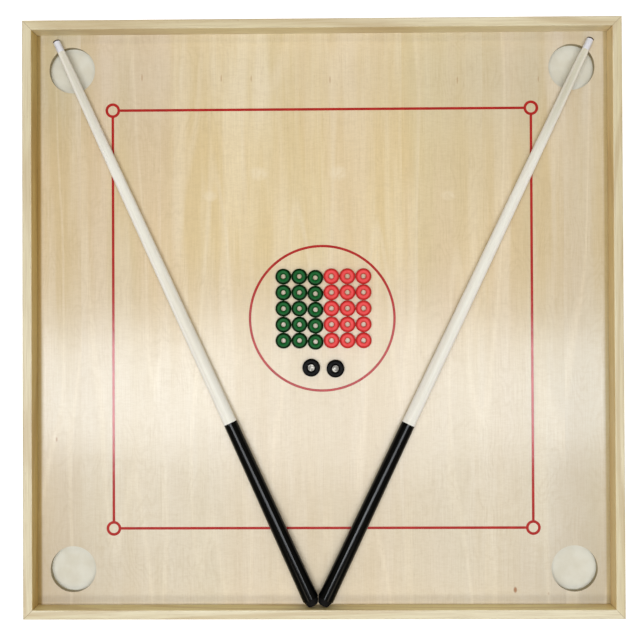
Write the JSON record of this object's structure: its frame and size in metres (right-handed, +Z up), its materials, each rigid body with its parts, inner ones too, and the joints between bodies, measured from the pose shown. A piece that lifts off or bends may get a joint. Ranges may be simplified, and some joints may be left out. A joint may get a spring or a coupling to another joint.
{
  "type": "bob board",
  "caption": "Framed wooden bob board with corner pockets, painted lines, loose rings, strikers and two tapered cues laid inside the frame.",
  "frame": {"origin": "on the table, under the middle of the board", "axes": "+X to the right rail, +Y to the back rail, away from the cue butts, +Z up from the table"},
  "size_m": [1, 1, 0.05],
  "materials": {
    "panel_wood": "clear gloss lacquer over pale plywood veneer",
    "rail_wood": "clear satin lacquer over pale solid wood",
    "spline_wood": "plain sawn plywood",
    "pocket_wood": "matt cream paint",
    "screw_steel": "zinc plated",
    "line_red": "printed line under lacquer",
    "ring_green": "gloss green lacquer on turned wood",
    "ring_red": "gloss red lacquer on turned wood",
    "striker_black": "polished",
    "core_steel": "turned",
    "cue_wood": "clear satin lacquer over pale turned wood",
    "ferrule_white": "polished",
    "tip_leather": "pressed leather",
    "sleeve_black": "smooth gloss",
    "bumper_rubber": "moulded matt"
  },
  "bodies": {
    "board": {"playing_panel": "panel_wood", "front_rail": "rail_wood", "right_rail": "rail_wood", "back_rail": "rail_wood", "left_rail": "rail_wood", "mitre_splines": "spline_wood", "pocket_block_front_left": "pocket_wood", "pocket_block_front_right": "pocket_wood", "pocket_block_back_right": "pocket_wood", "pocket_block_back_left": "pocket_wood", "pocket_screws": "screw_steel", "square_line": "line_red", "circle_line": "line_red"},
    "left_cue": {"left_cue_shaft": "cue_wood", "left_cue_ferrule": "ferrule_white", "left_cue_tip": "tip_leather", "left_cue_sleeve": "sleeve_black", "left_cue_bumper": "bumper_rubber", "left_cue_screw": "screw_steel"},
    "right_cue": {"right_cue_shaft": "cue_wood", "right_cue_ferrule": "ferrule_white", "right_cue_tip": "tip_leather", "right_cue_sleeve": "sleeve_black", "right_cue_bumper": "bumper_rubber", "right_cue_screw": "screw_steel"},
    "left_striker_disc": {"left_striker": "striker_black", "left_striker_core": "core_steel"},
    "right_striker_disc": {"right_striker": "striker_black", "right_striker_core": "core_steel"},
    "green_ring_01_piece": {"green_ring_01": "ring_green"},
    "green_ring_02_piece": {"green_ring_02": "ring_green"},
    "green_ring_03_piece": {"green_ring_03": "ring_green"},
    "green_ring_04_piece": {"green_ring_04": "ring_green"},
    "green_ring_05_piece": {"green_ring_05": "ring_green"},
    "green_ring_06_piece": {"green_ring_06": "ring_green"},
    "green_ring_07_piece": {"green_ring_07": "ring_green"},
    "green_ring_08_piece": {"green_ring_08": "ring_green"},
    "green_ring_09_piece": {"green_ring_09": "ring_green"},
    "green_ring_10_piece": {"green_ring_10": "ring_green"},
    "green_ring_11_piece": {"green_ring_11": "ring_green"},
    "green_ring_12_piece": {"green_ring_12": "ring_green"},
    "green_ring_13_piece": {"green_ring_13": "ring_green"},
    "green_ring_14_piece": {"green_ring_14": "ring_green"},
    "green_ring_15_piece": {"green_ring_15": "ring_green"},
    "red_ring_01_piece": {"red_ring_01": "ring_red"},
    "red_ring_02_piece": {"red_ring_02": "ring_red"},
    "red_ring_03_piece": {"red_ring_03": "ring_red"},
    "red_ring_04_piece": {"red_ring_04": "ring_red"},
    "red_ring_05_piece": {"red_ring_05": "ring_red"},
    "red_ring_06_piece": {"red_ring_06": "ring_red"},
    "red_ring_07_piece": {"red_ring_07": "ring_red"},
    "red_ring_08_piece": {"red_ring_08": "ring_red"},
    "red_ring_09_piece": {"red_ring_09": "ring_red"},
    "red_ring_10_piece": {"red_ring_10": "ring_red"},
    "red_ring_11_piece": {"red_ring_11": "ring_red"},
    "red_ring_12_piece": {"red_ring_12": "ring_red"},
    "red_ring_13_piece": {"red_ring_13": "ring_red"},
    "red_ring_14_piece": {"red_ring_14": "ring_red"},
    "red_ring_15_piece": {"red_ring_15": "ring_red"}
  },
  "joints": [
    {"name": "left_cue_lift", "type": "slide", "parent": "board", "child": "left_cue", "axis": [0, 0, 1], "range_m": [0, 0.12]},
    {"name": "right_cue_lift", "type": "slide", "parent": "board", "child": "right_cue", "axis": [0, 0, 1], "range_m": [0, 0.12]},
    {"name": "left_striker_slide", "type": "slide", "parent": "board", "child": "left_striker_disc", "axis": [0, -1, 0], "range_m": [0, 0.271]},
    {"name": "right_striker_slide", "type": "slide", "parent": "board", "child": "right_striker_disc", "axis": [0, -1, 0], "range_m": [0, 0.27]},
    {"name": "green_ring_01_lift", "type": "slide", "parent": "board", "child": "green_ring_01_piece", "axis": [0, 0, 1], "range_m": [0, 0.05]},
    {"name": "green_ring_02_lift", "type": "slide", "parent": "board", "child": "green_ring_02_piece", "axis": [0, 0, 1], "range_m": [0, 0.05]},
    {"name": "green_ring_03_lift", "type": "slide", "parent": "board", "child": "green_ring_03_piece", "axis": [0, 0, 1], "range_m": [0, 0.05]},
    {"name": "green_ring_04_lift", "type": "slide", "parent": "board", "child": "green_ring_04_piece", "axis": [0, 0, 1], "range_m": [0, 0.05]},
    {"name": "green_ring_05_lift", "type": "slide", "parent": "board", "child": "green_ring_05_piece", "axis": [0, 0, 1], "range_m": [0, 0.05]},
    {"name": "green_ring_06_lift", "type": "slide", "parent": "board", "child": "green_ring_06_piece", "axis": [0, 0, 1], "range_m": [0, 0.05]},
    {"name": "green_ring_07_lift", "type": "slide", "parent": "board", "child": "green_ring_07_piece", "axis": [0, 0, 1], "range_m": [0, 0.05]},
    {"name": "green_ring_08_lift", "type": "slide", "parent": "board", "child": "green_ring_08_piece", "axis": [0, 0, 1], "range_m": [0, 0.05]},
    {"name": "green_ring_09_lift", "type": "slide", "parent": "board", "child": "green_ring_09_piece", "axis": [0, 0, 1], "range_m": [0, 0.05]},
    {"name": "green_ring_10_lift", "type": "slide", "parent": "board", "child": "green_ring_10_piece", "axis": [0, 0, 1], "range_m": [0, 0.05]},
    {"name": "green_ring_11_lift", "type": "slide", "parent": "board", "child": "green_ring_11_piece", "axis": [0, 0, 1], "range_m": [0, 0.05]},
    {"name": "green_ring_12_lift", "type": "slide", "parent": "board", "child": "green_ring_12_piece", "axis": [0, 0, 1], "range_m": [0, 0.05]},
    {"name": "green_ring_13_lift", "type": "slide", "parent": "board", "child": "green_ring_13_piece", "axis": [0, 0, 1], "range_m": [0, 0.05]},
    {"name": "green_ring_14_lift", "type": "slide", "parent": "board", "child": "green_ring_14_piece", "axis": [0, 0, 1], "range_m": [0, 0.05]},
    {"name": "green_ring_15_lift", "type": "slide", "parent": "board", "child": "green_ring_15_piece", "axis": [0, 0, 1], "range_m": [0, 0.05]},
    {"name": "red_ring_01_lift", "type": "slide", "parent": "board", "child": "red_ring_01_piece", "axis": [0, 0, 1], "range_m": [0, 0.05]},
    {"name": "red_ring_02_lift", "type": "slide", "parent": "board", "child": "red_ring_02_piece", "axis": [0, 0, 1], "range_m": [0, 0.05]},
    {"name": "red_ring_03_lift", "type": "slide", "parent": "board", "child": "red_ring_03_piece", "axis": [0, 0, 1], "range_m": [0, 0.05]},
    {"name": "red_ring_04_lift", "type": "slide", "parent": "board", "child": "red_ring_04_piece", "axis": [0, 0, 1], "range_m": [0, 0.05]},
    {"name": "red_ring_05_lift", "type": "slide", "parent": "board", "child": "red_ring_05_piece", "axis": [0, 0, 1], "range_m": [0, 0.05]},
    {"name": "red_ring_06_lift", "type": "slide", "parent": "board", "child": "red_ring_06_piece", "axis": [0, 0, 1], "range_m": [0, 0.05]},
    {"name": "red_ring_07_lift", "type": "slide", "parent": "board", "child": "red_ring_07_piece", "axis": [0, 0, 1], "range_m": [0, 0.05]},
    {"name": "red_ring_08_lift", "type": "slide", "parent": "board", "child": "red_ring_08_piece", "axis": [0, 0, 1], "range_m": [0, 0.05]},
    {"name": "red_ring_09_lift", "type": "slide", "parent": "board", "child": "red_ring_09_piece", "axis": [0, 0, 1], "range_m": [0, 0.05]},
    {"name": "red_ring_10_lift", "type": "slide", "parent": "board", "child": "red_ring_10_piece", "axis": [0, 0, 1], "range_m": [0, 0.05]},
    {"name": "red_ring_11_lift", "type": "slide", "parent": "board", "child": "red_ring_11_piece", "axis": [0, 0, 1], "range_m": [0, 0.05]},
    {"name": "red_ring_12_lift", "type": "slide", "parent": "board", "child": "red_ring_12_piece", "axis": [0, 0, 1], "range_m": [0, 0.05]},
    {"name": "red_ring_13_lift", "type": "slide", "parent": "board", "child": "red_ring_13_piece", "axis": [0, 0, 1], "range_m": [0, 0.05]},
    {"name": "red_ring_14_lift", "type": "slide", "parent": "board", "child": "red_ring_14_piece", "axis": [0, 0, 1], "range_m": [0, 0.05]},
    {"name": "red_ring_15_lift", "type": "slide", "parent": "board", "child": "red_ring_15_piece", "axis": [0, 0, 1], "range_m": [0, 0.05]}
  ]
}
